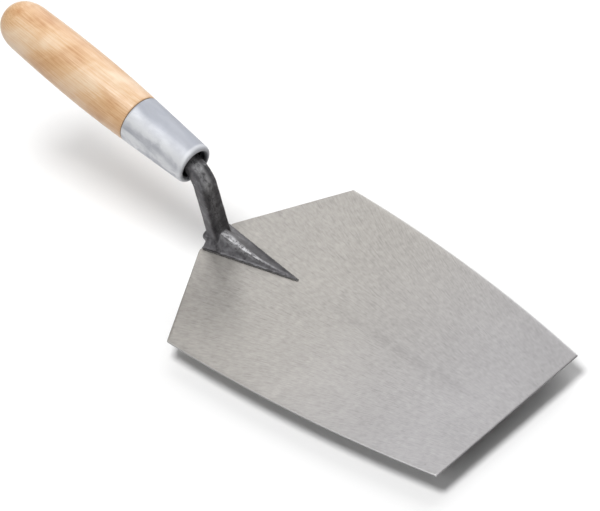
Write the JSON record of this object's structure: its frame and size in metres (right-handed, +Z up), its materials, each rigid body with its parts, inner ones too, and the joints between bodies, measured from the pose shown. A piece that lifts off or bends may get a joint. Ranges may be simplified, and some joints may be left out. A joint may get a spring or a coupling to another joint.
{
  "type": "brick trowel",
  "caption": "Brick trowel with a wide hexagonal flat blade, an upright forged neck on a pointed foot, a tapered metal ferrule and a turned wooden handle.",
  "frame": {"origin": "middle of the blade's flat underside, on the blade's centre line", "axes": "+X runs from the handle to the toe edge, +Y is across the blade, +Z is up out of the blade towards the handle side"},
  "size_m": [0.457, 0.1748, 0.1285],
  "materials": {
    "blade_steel": "ground carbon steel, fine cross scratches",
    "weld_scale": "dark rough weld seam",
    "forged_scale": "forged charcoal scale, bright where worn",
    "ferrule_metal": "satin drawn metal with a rolled lip",
    "handle_wood": "clear lacquered pale hardwood"
  },
  "bodies": {
    "root": {"blade": "blade_steel", "weld_bead": "weld_scale", "shank": "forged_scale", "ferrule": "ferrule_metal", "handle": "handle_wood"}
  },
  "joints": []
}
